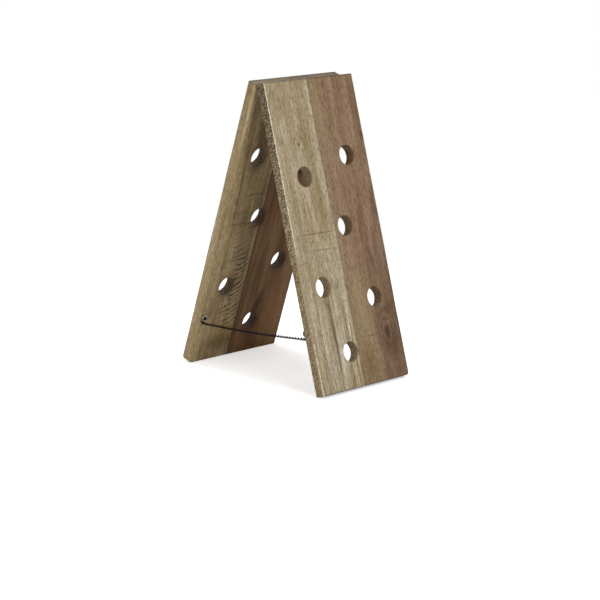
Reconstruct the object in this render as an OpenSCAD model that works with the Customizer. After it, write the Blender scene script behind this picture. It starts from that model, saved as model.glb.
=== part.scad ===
// Folding wine rack: two planked leaves with six bottle holes each, hinged along their top
// edges and held apart by a stay chain. It is drawn standing open.
// X runs across the rack, Y from front to back, Z up. The origin is the middle of the footprint.

/* [Leaves] */
// Width of each leaf
leaf_w = 230; // [226:1:300]
// Length of each leaf down its slope
leaf_l = 560; // [540:1:700]
// Thickness of the planks
plank_t = 19; // [17:0.5:26]
// Lean of each leaf from upright when the rack stands open
lean = 16.8; // [14:0.1:20]
// Seam of the front leaf's planks, distance left of the middle
front_seam_in = 6; // [3:1:7]
// Seam of the rear leaf's planks, distance left of the middle
rear_seam_in = 15; // [3:1:22]
// Rounding of the leaves' long outer edges
edge_r = 1.5; // [0.5:0.1:4]
// Worn rounding of the front leaf's lower right corner
front_corner_r = 6; // [2:0.5:15]
// Worn rounding of the rear leaf's upper right corner
rear_corner_r = 8; // [2:0.5:15]
// Worn rounding of the rear leaf's lower left corner
rear_left_corner_r = 6; // [2:0.5:12]
// Worn rounding of the rear leaf's left edge, on its inner face
rear_left_edge_r = 4; // [1.5:0.5:6]
// Depth of the worn flats that the leaves stand on
foot_flat = 0.4; // [0.2:0.1:1.5]
// Gap between the leaves' top edges when open
crest_gap = 0.3; // [0.2:0.1:1]

/* [Bottle holes] */
// Diameter of each bottle hole
hole_d = 37; // [30:0.5:38]
// Upper right hole, distance right of the middle
upper_right_x = 61; // [50:1:70]
// Upper right hole, distance down from the top end
upper_right_drop = 146; // [120:1:160]
// Upper left hole, distance left of the middle
upper_left_x = 57; // [50:1:70]
// Upper left hole, distance down from the top end
upper_left_drop = 174; // [130:1:185]
// Centre hole, distance right of the middle
centre_x = 22; // [16:1:30]
// Centre hole, distance down from the top end
centre_drop = 271; // [260:1:285]
// Lower left hole, distance left of the middle
lower_left_x = 64; // [50:1:70]
// Lower left hole, distance up from the bottom end
lower_left_rise = 188; // [175:1:210]
// Lower right hole, distance right of the middle
lower_right_x = 63; // [50:1:70]
// Lower right hole, distance up from the bottom end
lower_right_rise = 153; // [140:1:170]
// Lowest hole, distance left of the middle
lowest_x = 26; // [16:1:30]
// Lowest hole, distance up from the bottom end
lowest_rise = 66; // [55:1:75]

/* [Dowels] */
// Diameter of the dowels across the glued seams
dowel_d = 8; // [6:0.5:9]
// Length of each dowel
dowel_l = 40; // [20:1:44]
// Clearance round a dowel
dowel_fit = 0.05; // [0.02:0.01:0.2]
// Spare depth at each end of a dowel's bore
dowel_spare = 1; // [0.5:0.1:2]
// First dowel, distance down from the top end
first_dowel_drop = 80; // [70:1:90]
// Second dowel, distance down from the top end
second_dowel_drop = 205; // [200:1:210]
// Third dowel, distance down from the top end
third_dowel_drop = 330; // [325:1:335]
// Fourth dowel, distance up from the bottom end
fourth_dowel_rise = 125; // [120:1:130]
// Fifth dowel, distance up from the bottom end
fifth_dowel_rise = 30; // [26:1:36]

/* [Hinges] */
// Distance of each hinge from the rack's middle
hinge_x = 70; // [55:1:80]
// Width of each hinge along its pin
hinge_w = 44; // [36:1:50]
// Length of each plate from the pin
plate_l = 28; // [24:1:36]
// Thickness of the hinge plates
plate_t = 1.2; // [0.8:0.1:1.3]
// Rounding of the plates' lower corners
plate_corner_r = 3; // [1:0.5:4]
// Outer diameter of the hinge barrel
barrel_d = 5.6; // [5:0.1:6.5]
// Number of knuckles along the barrel
knuckle_count = 5; // [3:2:7]
// Gap between two knuckles
knuckle_gap = 0.3; // [0.2:0.1:0.6]
// Diameter of the hinge pin
pin_d = 2.4; // [2:0.1:3]
// Diameter of the pin's riveted heads
pin_head_d = 4; // [3.2:0.1:4.8]
// Thickness of the pin's riveted heads
pin_head_t = 0.8; // [0.5:0.1:1.2]
// Running clearance round the pin
pin_fit = 0.05; // [0.02:0.01:0.1]
// Gap between the leaves at the hinges when folded
folded_gap = 2.8; // [2.7:0.1:3.2]
// Clearance of the barrel in the leaves' grooves
groove_gap = 0.6; // [0.4:0.1:1]

/* [Hinge screws] */
// Shank diameter of the hinge screws
hinge_screw_d = 3; // [2.5:0.1:3.5]
// Head diameter of the hinge screws
hinge_screw_head_d = 6; // [5:0.1:7]
// Length of the hinge screws
hinge_screw_l = 14; // [10:0.5:16]
// Distance between the two screws of a plate
hinge_screw_spread = 26; // [20:1:32]
// Distance of the screws down from the pin
hinge_screw_drop = 17; // [12:0.5:19]

/* [Chain anchors] */
// Distance of the chain's screws in from the left edge
anchor_in = 8; // [7:0.5:20]
// Rear chain screw, distance up from the bottom end
rear_anchor_rise = 96; // [90:1:108]
// Front chain screw, distance up from the bottom end
front_anchor_rise = 114; // [110:1:125]
// Shank diameter of the chain screws
anchor_d = 3.9; // [3:0.1:4.2]
// Length of the chain screws under the head
anchor_l = 19; // [16:0.5:20]
// Head diameter of the chain screws
anchor_head_d = 7.4; // [6.5:0.1:9]
// Head height of the chain screws
anchor_head_h = 2.4; // [1.8:0.1:2.6]
// Outer diameter of the washers
washer_od = 12; // [10:0.5:13]
// Bore of the washers
washer_id = 4.4; // [4.3:0.1:5]
// Thickness of the washers
washer_t = 1; // [0.6:0.1:1.2]
// Room between a washer and the wood, where the end link turns
anchor_room = 4.5; // [4.2:0.1:4.8]
// Clearance of every screw in its hole
screw_fit = 0.05; // [0.02:0.01:0.2]

/* [Chain] */
// Wire diameter of the chain's links
link_wire = 1.7; // [1.4:0.1:1.9]
// Outer width of a link
link_w = 6; // [5.8:0.1:6.4]
// Number of links between the end links
link_count = 38; // [36:2:38]
// Clearance where two links hook together
link_fit = 0.1; // [0.05:0.05:0.2]
// Sag of the chain below a straight line
chain_sag = 2.7; // [0:0.1:6]
// Wire diameter of the end links
end_wire = 1.8; // [1.5:0.1:2]
// Reach of an end link from its screw
end_reach = 10.6; // [10.2:0.1:12]
// Tilt of an end link away from the wood
end_tilt = 12; // [10:0.5:13]
// Height of an end link's middle line above the wood at its screw
end_off = 1.85; // [1.8:0.05:2]

/* [Hidden] */

pale_wood = "#b3a386";
brown_wood = "#94765a";
dowel_wood = "#cfae7c";
hinge_steel = "#8d8f91";
screw_steel = "#5b5754";
zinc = "#c9c8c2";
black_steel = "#37332f";

round_n = 64;
wire_n = 24;
past = 1;

// The six holes of a leaf, seen from outside: distance across, and down from the top end.
holes = [
    [upper_right_x, upper_right_drop], [-upper_left_x, upper_left_drop],
    [centre_x, centre_drop],
    [-lower_left_x, leaf_l - lower_left_rise], [lower_right_x, leaf_l - lower_right_rise],
    [-lowest_x, leaf_l - lowest_rise]];
// The dowels lie in the plain stretches of the seams between the holes.
dowel_drops = [
    first_dowel_drop, second_dowel_drop, third_dowel_drop,
    leaf_l - fourth_dowel_rise, leaf_l - fifth_dowel_rise];

left_x = -leaf_w / 2;
right_x = leaf_w / 2;
front_seam_x = -front_seam_in;
rear_seam_x = -rear_seam_in;
crest_z = leaf_l * cos(lean) - foot_flat;

// The hinge pin lies on the mid-plane, half of the folded gap off each leaf's inner face.
pin_off = folded_gap / 2;
pin_below = (pin_off - crest_gap / 2 * cos(lean)) / sin(lean);
pin_drop = pin_below * cos(lean) - crest_gap / 2 * sin(lean);

knuckle_l = (hinge_w - (knuckle_count - 1) * knuckle_gap) / knuckle_count;
pin_l = hinge_w + 2 * pin_fit;

anchor_x = left_x + anchor_in;
front_anchor_drop = leaf_l - front_anchor_rise;
rear_anchor_drop = leaf_l - rear_anchor_rise;
washer_y = anchor_room;
head_y = washer_y + washer_t;

// An end link hangs on its screw's shank and tilts off the wood towards the other leaf.
end_top = (anchor_d + end_wire) / 2 + link_fit;
end_half_w = (anchor_d + end_wire) / 2 + 2 * link_fit;
front_pull = leaf_point(1, front_anchor_drop, end_off, end_reach, end_tilt);
rear_pull = leaf_point(-1, rear_anchor_drop, end_off, end_reach, end_tilt);

// The links hook together inside the run from one end link's outer bar to the other's.
hook_in = (link_wire + end_wire) / 2 + link_fit;
chain_run = rear_pull - front_pull;
chain_l = norm(chain_run);
link_pitch = (chain_l + 2 * hook_in - link_wire - link_fit) / link_count;
link_half_l = (link_pitch + link_wire + link_fit) / 2;
link_half_w = (link_w - link_wire) / 2;
first_link = link_half_l - hook_in;
half_count = link_count / 2;
// The links by the end links stand upright, and ease to the half-turned lay of the rest.
lay_roll = 45;
lay_links = 3;

// A point of a leaf's local frame in the rack's frame. The side is 1 in front and -1 behind.
// The arm swings down from the point (drop, off) by its reach, tilted off the wood.
function leaf_point(side, drop, off, reach = 0, tilt = 0) =
    let (v = drop + reach * cos(tilt), t = off + reach * sin(tilt))
    [anchor_x,
     side * (-crest_gap / 2 - v * sin(lean) + t * cos(lean)),
     crest_z - v * cos(lean) - t * sin(lean)];

// Share t of the way from the front pull to the rear pull, with the sag of a parabola.
function chain_point(t) = front_pull + t * chain_run - [0, 0, 4 * chain_sag * t * (1 - t)];
function chain_slope(t) = chain_run / chain_l - [0, 0, 4 * chain_sag * (1 - 2 * t) / chain_l];

// Places what is drawn in a leaf's local frame: it hangs down from z = 0, with its inner
// face at y = 0 and its outer face at y = -plank_t.
module in_front() {
    translate([0, -crest_gap / 2, crest_z]) rotate([-lean, 0, 0]) children();
}

module in_rear() {
    mirror([0, 1, 0]) in_front() children();
}

// A square between two points, whichever is the lower.
module span(x0, x1, y0, y1) {
    translate([min(x0, x1), min(y0, y1)]) square([abs(x1 - x0), abs(y1 - y0)]);
}

// A plank's cross-section: square at the seam, rounded at the leaf's long edge. The inner
// radius is at the inner face, and is at least as large as the outer one.
module plank_section(seam_x, edge_x, inner_r) {
    way = sign(edge_x - seam_x);
    outer_x = edge_x - way * edge_r;
    inner_x = edge_x - way * inner_r;
    span(seam_x, inner_x, -plank_t, 0);
    span(seam_x, outer_x, -plank_t, -inner_r);
    span(seam_x, edge_x, -plank_t + edge_r, -inner_r);
    translate([outer_x, -plank_t + edge_r]) circle(r = edge_r, $fn = round_n);
    translate([inner_x, -inner_r]) circle(r = inner_r, $fn = round_n);
}

module bar_y(r, y0, y1) {
    translate([0, y1, 0]) rotate([90, 0, 0]) cylinder(r = r, h = y1 - y0, $fn = round_n);
}

module bar_x(r, l) {
    rotate([0, 90, 0]) cylinder(r = r, h = l, center = true, $fn = round_n);
}

// A wood screw seen from its head at y = top, with its point in the wood. A grow widens it
// to the hole that it sits in.
module screw_shank(r, top, bottom, grow) {
    tip = 2 * r;
    bar_y(r + grow, bottom + tip, top);
    translate([0, bottom + tip, 0]) rotate([90, 0, 0])
        cylinder(r1 = r + grow, r2 = r / 4 + grow, h = tip + grow, $fn = round_n);
}

module hinge_screw(grow = 0) {
    r = hinge_screw_d / 2;
    sink = hinge_screw_head_d / 2 - r;
    translate([0, plate_t, 0]) rotate([90, 0, 0])
        cylinder(r1 = r + sink + grow, r2 = r + grow, h = sink, $fn = round_n);
    screw_shank(r, plate_t - sink, plate_t - hinge_screw_l, grow);
    if (grow > 0) bar_y(r + sink + grow, plate_t, plate_t + past);
}

module at_hinge_screws(hinge_sides) {
    for (side = hinge_sides, step = [-1, 1])
        translate([side * hinge_x + step * hinge_screw_spread / 2, 0,
            -pin_drop - hinge_screw_drop]) children();
}

module anchor_shank(grow = 0) {
    screw_shank(anchor_d / 2, head_y, head_y - anchor_l, grow);
}

module hinge_grooves() {
    for (side = [-1, 1])
        translate([side * hinge_x, pin_off, -pin_drop])
            bar_x(barrel_d / 2 + groove_gap, hinge_w + 2 * (pin_head_t + groove_gap));
}

module dowel_set(seam_x, grow, spare) {
    for (drop = dowel_drops)
        translate([seam_x, -plank_t / 2, -drop]) bar_x(dowel_d / 2 + grow, dowel_l + 2 * spare);
}

// A plank in its leaf's local frame. Across is 1 where the holes are as the front leaf has
// them, and -1 on the rear leaf, which has the same pattern seen from its own outside.
module plank(seam_x, edge_x, across, anchor_drop, inner_r = edge_r) {
    difference() {
        translate([0, 0, -leaf_l]) linear_extrude(leaf_l)
            plank_section(seam_x, edge_x, inner_r);
        for (hole = holes)
            translate([across * hole[0], 0, -hole[1]])
                bar_y(hole_d / 2, -plank_t - past, past);
        hinge_grooves();
        at_hinge_screws([-1, 1]) hinge_screw(screw_fit);
        dowel_set(seam_x, dowel_fit, dowel_spare);
        translate([anchor_x, 0, -anchor_drop]) anchor_shank(screw_fit);
    }
}

// What a right-hand corner loses when it is rounded through the plank. The end is -1 for
// the bottom corner and 1 for the top one.
module corner_wear(r, end) {
    translate([right_x - r, past, end < 0 ? r - leaf_l : -r]) rotate([90, 0, 0])
        linear_extrude(plank_t + 2 * past) difference() {
            span(0, r + past, 0, end * (r + past));
            circle(r = r, $fn = round_n);
        }
}

module above_floor() {
    difference() {
        children();
        translate([-leaf_w, -leaf_l, -plank_t]) cube([2 * leaf_w, 2 * leaf_l, plank_t]);
    }
}

module front_left_plank() {
    color(pale_wood) above_floor() in_front()
        plank(front_seam_x, left_x, 1, front_anchor_drop);
}

module front_right_plank() {
    color(brown_wood) above_floor() in_front() difference() {
        plank(front_seam_x, right_x, 1, front_anchor_drop);
        corner_wear(front_corner_r, -1);
    }
}

module rear_left_plank() {
    color(pale_wood) above_floor() in_rear() difference() {
        plank(rear_seam_x, left_x, -1, rear_anchor_drop, rear_left_edge_r);
        mirror([1, 0, 0]) corner_wear(rear_left_corner_r, -1);
    }
}

module rear_right_plank() {
    color(brown_wood) above_floor() in_rear() difference() {
        plank(rear_seam_x, right_x, -1, rear_anchor_drop);
        corner_wear(rear_corner_r, 1);
    }
}

module front_dowels() {
    color(dowel_wood) in_front() dowel_set(front_seam_x, 0, 0);
}

module rear_dowels() {
    color(dowel_wood) in_rear() dowel_set(rear_seam_x, 0, 0);
}

// Places children at each knuckle of one plate: the front plate has the first, third and
// so on, and the rear plate those between.
module at_knuckles(first) {
    for (k = [first : 2 : knuckle_count - 1])
        translate([-hinge_w / 2 + knuckle_l / 2 + k * (knuckle_l + knuckle_gap), 0, 0])
            children();
}

module plate_blank() {
    rotate([90, 0, 0]) translate([0, 0, -plate_t]) linear_extrude(plate_t) {
        span(-hinge_w / 2, hinge_w / 2, -plate_l + plate_corner_r, 0);
        span(-hinge_w / 2 + plate_corner_r, hinge_w / 2 - plate_corner_r, -plate_l, 0);
        for (side = [-1, 1])
            translate([side * (hinge_w / 2 - plate_corner_r), -plate_l + plate_corner_r])
                circle(r = plate_corner_r, $fn = round_n);
    }
}

// A hinge plate with its knuckles, drawn with the barrel's axis over the plate's top edge.
module hinge_plate(side, first) {
    difference() {
        translate([side * hinge_x, 0, -pin_drop]) difference() {
            union() {
                plate_blank();
                translate([0, pin_off, 0]) at_knuckles(first) bar_x(barrel_d / 2, knuckle_l);
            }
            translate([0, pin_off, 0]) {
                bar_x(pin_d / 2 + pin_fit, hinge_w + 2 * past);
                at_knuckles(1 - first)
                    bar_x(barrel_d / 2 + knuckle_gap, knuckle_l + 2 * knuckle_gap);
            }
        }
        at_hinge_screws([side]) hinge_screw(screw_fit);
    }
}

module hinge_pin(side) {
    color(hinge_steel) in_front() translate([side * hinge_x, pin_off, -pin_drop]) {
        bar_x(pin_d / 2, pin_l + 2 * pin_head_t);
        for (end = [-1, 1])
            translate([end * (pin_l + pin_head_t) / 2, 0, 0])
                bar_x(pin_head_d / 2, pin_head_t);
    }
}

module left_hinge_pin() {
    hinge_pin(-1);
}

module right_hinge_pin() {
    hinge_pin(1);
}

module left_hinge_front_plate() {
    color(hinge_steel) in_front() hinge_plate(-1, 0);
}

module left_hinge_rear_plate() {
    color(hinge_steel) in_rear() hinge_plate(-1, 1);
}

module right_hinge_front_plate() {
    color(hinge_steel) in_front() hinge_plate(1, 0);
}

module right_hinge_rear_plate() {
    color(hinge_steel) in_rear() hinge_plate(1, 1);
}

// Countersunk screws, each with a straight slot in its head.
module hinge_screws() {
    slot_w = hinge_screw_d / 4;
    slot_deep = plate_t / 2;
    at_hinge_screws([-1, 1]) difference() {
        hinge_screw();
        translate([-hinge_screw_d, plate_t - slot_deep, -slot_w / 2])
            cube([2 * hinge_screw_d, slot_deep + past, slot_w]);
    }
}

module front_hinge_screws() {
    color(screw_steel) in_front() hinge_screws();
}

module rear_hinge_screws() {
    color(screw_steel) in_rear() hinge_screws();
}

// A pan-head screw with a cross recess: a flat-topped head with a rounded rim.
module chain_screw(anchor_drop) {
    rim = anchor_head_h / 2;
    slot_w = anchor_d / 4;
    slot_l = anchor_head_d * 0.55;
    translate([anchor_x, 0, -anchor_drop]) difference() {
        union() {
            anchor_shank();
            bar_y(anchor_head_d / 2, head_y, head_y + rim);
            bar_y(anchor_head_d / 2 - rim, head_y, head_y + anchor_head_h);
            translate([0, head_y + rim, 0]) rotate([90, 0, 0])
                rotate_extrude($fn = round_n)
                    translate([anchor_head_d / 2 - rim, 0]) circle(r = rim, $fn = wire_n);
        }
        for (turn = [0, 90])
            rotate([0, turn, 0]) translate([-slot_l / 2, head_y + rim, -slot_w / 2])
                cube([slot_l, anchor_head_h, slot_w]);
    }
}

module front_chain_screw() {
    color(screw_steel) in_front() chain_screw(front_anchor_drop);
}

module rear_chain_screw() {
    color(screw_steel) in_rear() chain_screw(rear_anchor_drop);
}

module washer(anchor_drop) {
    translate([anchor_x, 0, -anchor_drop]) difference() {
        bar_y(washer_od / 2, washer_y, washer_y + washer_t);
        bar_y(washer_id / 2, washer_y - past, washer_y + washer_t + past);
    }
}

module front_chain_washer() {
    color(zinc) in_front() washer(front_anchor_drop);
}

module rear_chain_washer() {
    color(zinc) in_rear() washer(rear_anchor_drop);
}

// An oval of round wire along x in the xy plane, with its end bars' lines at x0 and x1.
module oval_link(x0, x1, half_w, wire) {
    for (side = [-1, 1])
        translate([x0 + half_w, side * half_w, 0]) rotate([0, 90, 0])
            cylinder(d = wire, h = x1 - x0 - 2 * half_w, $fn = wire_n);
    for (end = [0, 1])
        translate([end == 0 ? x0 + half_w : x1 - half_w, 0, 0]) rotate([0, 0, 90 - 180 * end])
            rotate_extrude(angle = 180, $fn = 2 * wire_n)
                translate([half_w, 0]) circle(d = wire, $fn = wire_n);
}

module end_link(anchor_drop) {
    translate([anchor_x, end_off, -anchor_drop]) rotate([end_tilt, 0, 0]) rotate([0, 90, 0])
        rotate([90, 0, 0]) oval_link(-end_top, end_reach, end_half_w, end_wire);
}

module front_end_link() {
    color(black_steel) in_front() end_link(front_anchor_drop);
}

module rear_end_link() {
    color(black_steel) in_rear() end_link(rear_anchor_drop);
}

// One link of the chain, numbered from the front. Neighbours are rolled a quarter turn
// apart, and every link is half turned to the run, as in a chain that has settled.
module chain_link(k) {
    t = (first_link + k * link_pitch) / chain_l;
    run = chain_slope(t);
    eased = min(1, k / lay_links) + max(0, 1 - (link_count - 1 - k) / lay_links);
    translate(chain_point(t))
        rotate([90 * (k + 1) + lay_roll * eased,
                -atan2(run[2], norm([run[0], run[1]])), atan2(run[1], run[0])])
            oval_link(-link_half_l, link_half_l, link_half_w, link_wire);
}

module front_chain() {
    color(black_steel) for (k = [0 : half_count - 1]) chain_link(k);
}

module rear_chain() {
    color(black_steel) for (k = [half_count : link_count - 1]) chain_link(k);
}

front_left_plank();
front_right_plank();
rear_left_plank();
rear_right_plank();
front_dowels();
rear_dowels();
left_hinge_front_plate();
left_hinge_rear_plate();
left_hinge_pin();
right_hinge_front_plate();
right_hinge_rear_plate();
right_hinge_pin();
front_hinge_screws();
rear_hinge_screws();
front_chain_screw();
rear_chain_screw();
front_chain_washer();
rear_chain_washer();
front_end_link();
rear_end_link();
front_chain();
rear_chain();
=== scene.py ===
import math
import bmesh
import bpy
import numpy as np
from mathutils import Matrix, Vector


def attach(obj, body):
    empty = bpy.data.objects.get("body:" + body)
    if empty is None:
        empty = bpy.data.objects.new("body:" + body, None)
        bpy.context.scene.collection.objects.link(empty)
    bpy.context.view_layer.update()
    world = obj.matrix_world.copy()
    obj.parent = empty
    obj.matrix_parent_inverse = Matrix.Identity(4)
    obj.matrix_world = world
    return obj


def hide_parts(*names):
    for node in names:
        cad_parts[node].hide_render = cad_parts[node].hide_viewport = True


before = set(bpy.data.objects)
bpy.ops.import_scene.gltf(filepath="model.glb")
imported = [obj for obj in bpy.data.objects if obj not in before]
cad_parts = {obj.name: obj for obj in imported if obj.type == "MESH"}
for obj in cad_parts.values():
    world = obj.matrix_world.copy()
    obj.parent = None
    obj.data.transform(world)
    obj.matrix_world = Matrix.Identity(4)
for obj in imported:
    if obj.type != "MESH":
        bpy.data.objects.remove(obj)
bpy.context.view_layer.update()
print("frame loaded")

# Sizes in millimetres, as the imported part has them. A place on a leaf is given as x to the
# right of its middle, down from its top end, and off its inner face, which is minus in the wood.
lean = math.radians(16.8)
crestHalf, crestHeight = 0.15, 535.698
leafLength, thickness, halfWidth = 560.0, 19.0, 115.0

leaves = {
    "front": {"side": 1, "seam": -6.0, "anchorDrop": 446.0, "body": "front_leaf"},
    "rear": {"side": -1, "seam": -15.0, "anchorDrop": 464.0, "body": "rear_leaf"},
}
# The bottle holes as x and down, seen from outside the leaf.
bottleHoles = {
    "radius": 18.5, "rimEase": 0.7,
    "places": [(61, 146), (-57, 174), (22, 271), (-64, 372), (63, 407), (-26, 494)],
}
dowelBores = {"drops": [80, 205, 330, 435, 530], "radius": 4.05, "length": 42}
# Screw holes are profiles of radius and off, from the point of the screw up.
hingeSeats = {
    "x": 70, "pinDrop": 4.118, "pinOff": 1.4, "grooveRadius": 3.4, "grooveLength": 46.8,
    "screwStep": 13, "screwDrop": 17,
    "screwHole": [(0.43, -12.8), (1.55, -9.8), (1.55, -0.3), (3.05, 1.2), (3.05, 2.2)],
}
chainScrew = {"x": -107.0, "hole": [(0.54, -13.55), (2.0, -9.6), (2.0, 1)]}
# The planks' worn edges. Chips are where a second, quicker wander rises past its start.
edges = {
    "rounding": 1.5, "seamRounding": 0.25, "wander": 0.75, "chip": 1.5, "chipStart": 0.42,
    "endEase": 1.2, "endSpan": 9, "wearFrom": 230, "wearLength": 320,
    "endRows": 14, "middleRows": 136, "cornerPoints": 7, "sharpAngle": math.radians(38),
}


# From a leaf's own places to the rack's, in metres: the leaf hangs from the crest and leans
# out by the sine and down by the cosine of its lean.
def leafToRack(side, x, down, off):
    sine, cosine = math.sin(lean), math.cos(lean)
    y = side * (-crestHalf - down * sine + off * cosine)
    z = crestHeight - down * cosine - off * sine
    return np.stack(np.broadcast_arrays(x, y, z), axis=-1) / 1000


# A mesh object from a grid of points, in metres, and faces that count them row by row.
def meshObject(name, points, faces):
    mesh = bpy.data.meshes.new(name)
    mesh.from_pydata(points.reshape(-1, 3).tolist(), [], faces)
    mesh.update()
    made = bpy.data.objects.new(name, mesh)
    bpy.context.scene.collection.objects.link(made)
    return made


# Quads of a grid of closed rings, each joined to the next one, with a flat cap on each end.
def ringFaces(rings, around, first=0, flip=False):
    i, j = np.meshgrid(np.arange(rings - 1), np.arange(around), indexing="ij")
    k = (j + 1) % around
    quads = np.stack([i * around + j, i * around + k,
                      (i + 1) * around + k, (i + 1) * around + j], axis=-1).reshape(-1, 4)
    caps = [np.arange(around)[::-1], (rings - 1) * around + np.arange(around)]
    faces = [row + first for row in [*quads, *caps]]
    return [(face[::-1] if flip else face).tolist() for face in faces]


# A slow random line within -1 to 1: a sum of sines whose waves run from long to short, each
# with a phase of its own and the more weight the longer it is.
def wander(along, seed, shortest=18.0, longest=260.0, terms=9):
    random = np.random.default_rng(seed)
    waves = np.geomspace(longest, shortest, terms)
    phases = random.uniform(0, 2 * np.pi, terms)
    weights = waves ** 0.45
    line = np.sin(2 * np.pi * np.asarray(along)[..., None] / waves + phases) @ weights
    return line / weights.sum()


# A turned cutter: a circle at each point of the profile, whose radius is given against off.
def turnedCutter(x, down, profile, turns=64):
    angle = np.linspace(0, 2 * np.pi, turns, endpoint=False)
    radius, off = np.array(profile).T
    return (x + radius[:, None] * np.cos(angle), down + radius[:, None] * np.sin(angle),
            off[:, None] + 0 * angle)


# A round bar across the leaf: two circles, half the length to either side of x.
def barCutter(x, down, off, radius, length, turns=32):
    angle = np.linspace(0, 2 * np.pi, turns, endpoint=False)
    ends = np.array([-length / 2, length / 2])[:, None]
    return (x + ends + 0 * angle, down + radius * np.sin(angle) + 0 * ends,
            off + radius * np.cos(angle) + 0 * ends)


# The bottle hole's profile: a straight bore whose two rims widen by a quarter round.
def holeProfile():
    radius, ease = bottleHoles["radius"], bottleHoles["rimEase"]
    turn = np.linspace(0, np.pi / 2, 6)
    rim = radius + ease * (1 - np.cos(turn))
    depth = ease * (1 - np.sin(turn))
    outer = list(zip(rim[::-1], -thickness + depth[::-1]))
    inner = list(zip(rim, -depth))
    return [(radius + ease, -thickness - 1), *outer, *inner, (radius + ease, 1)]


# All that is cut from a leaf. The bottle holes are mirrored on the rear leaf, so that both
# leaves show the same layout from outside.
def leafCutters(leaf):
    profile = holeProfile()
    parts = [turnedCutter(leaf["side"] * x, down, profile) for x, down in bottleHoles["places"]]
    hinge = hingeSeats
    for x in (-hinge["x"], hinge["x"]):
        parts.append(barCutter(x, hinge["pinDrop"], hinge["pinOff"], hinge["grooveRadius"],
                               hinge["grooveLength"]))
        for step in (-hinge["screwStep"], hinge["screwStep"]):
            parts.append(turnedCutter(x + step, hinge["pinDrop"] + hinge["screwDrop"],
                                      hinge["screwHole"], 24))
    for drop in dowelBores["drops"]:
        parts.append(barCutter(leaf["seam"], drop, -thickness / 2, dowelBores["radius"],
                               dowelBores["length"]))
    parts.append(turnedCutter(chainScrew["x"], leaf["anchorDrop"], chainScrew["hole"], 24))
    return parts


# A plank is a sweep down the leaf of a rectangle whose corners are quarter rounds. Their radii
# wander down the plank, so the arrises look worn by hand. The rectangle shrinks by a quarter
# round at both ends, and one side draws in to round a corner in the plank's plane.
def sweptPlank(name, leaf, plan):
    span = edges["endSpan"]
    fine = span * (1 - np.cos(np.linspace(0, np.pi / 2, edges["endRows"])))
    middle = np.linspace(span, leafLength - span, edges["middleRows"])[1:-1]
    down = np.concatenate([fine, middle, (leafLength - fine)[::-1]])
    ease = edges["endEase"]
    toEnd = np.minimum(down, leafLength - down)
    eased = ease - np.sqrt(np.clip(ease**2 - (ease - toEnd) ** 2, 0, None))
    endInset = np.where(toEnd < ease, eased, 0)
    plane = np.zeros_like(down)
    for reach, radius in ((down, plan["cornerTop"]), (leafLength - down, plan["cornerBottom"])):
        short = np.clip(radius - reach, 0, None)
        plane = np.maximum(plane, radius - np.sqrt(np.clip(radius**2 - short**2, 0, None)))
    seam, outerX, seed = leaf["seam"], plan["outerX"], plan["edgeSeed"]
    low, high = min(seam, outerX), max(seam, outerX)
    isLow = outerX < seam
    chips = [np.clip(wander(down, seed + 20 + n, 7, 90) - edges["chipStart"], 0, 1)
             for n in range(2)]
    inner, outer = [edges["rounding"] + edges["wander"] * wander(down, seed + n, 14)
                    + edges["chip"] * chips[n] for n in range(2)]
    inner += plan["innerWear"]
    worn = np.clip((down - edges["wearFrom"]) / edges["wearLength"], 0, 1)
    outer += plan["outerWear"] * np.sin(np.pi * worn) ** 2
    seamSide = edges["seamRounding"] + 0 * down
    # The corners in turn: low inner, low outer, high outer, high inner.
    radii = [inner, outer, seamSide, seamSide] if isLow else [seamSide, seamSide, outer, inner]
    lowX = low + endInset + (plane if isLow else 0)
    highX = high - endInset - (0 if isLow else plane)
    innerOff, outerOff = -endInset, -thickness + endInset
    corners = [(lowX, innerOff, 1, -1), (lowX, outerOff, 1, 1),
               (highX, outerOff, -1, 1), (highX, innerOff, -1, -1)]
    quarter = np.linspace(0, np.pi / 2, edges["cornerPoints"])
    rows = []
    for n, (x, off, inX, inOff) in enumerate(corners):
        turn = quarter if n % 2 == 0 else quarter[::-1]
        r = radii[n][:, None]
        rows.append((x[:, None] + inX * r * (1 - np.sin(turn)),
                     off[:, None] + inOff * r * (1 - np.cos(turn))))
    x = np.concatenate([row[0] for row in rows], axis=1)
    off = np.concatenate([row[1] for row in rows], axis=1)
    points = leafToRack(leaf["side"], x, down[:, None], off)
    points[..., 2] = np.clip(points[..., 2], 0, None)  # the flat worn on the foot
    return meshObject(name, points, ringFaces(*x.shape, flip=leaf["side"] > 0))


# Turns every shell's faces outward.
def outwards(made):
    shell = bmesh.new()
    shell.from_mesh(made.data)
    bmesh.ops.recalc_face_normals(shell, faces=shell.faces)
    shell.to_mesh(made.data)
    shell.free()


# Cuts the leaf's holes and bores out of a plank, all in one go.
def cutPlank(plank, cutters, side):
    points, faces, count = [], [], 0
    for x, down, off in cutters:
        grid = leafToRack(side, x, down, off)
        points.append(grid.reshape(-1, 3))
        faces += ringFaces(*grid.shape[:2], first=count)
        count += len(points[-1])
    tool = meshObject("cutter", np.concatenate(points), faces)
    outwards(tool)
    cut = plank.modifiers.new("holes", "BOOLEAN")
    cut.object, cut.solver = tool, "EXACT"
    done = plank.evaluated_get(bpy.context.evaluated_depsgraph_get())
    solid = bpy.data.meshes.new_from_object(done)
    plank.modifiers.clear()
    plank.data = solid
    bpy.data.objects.remove(tool)


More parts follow.
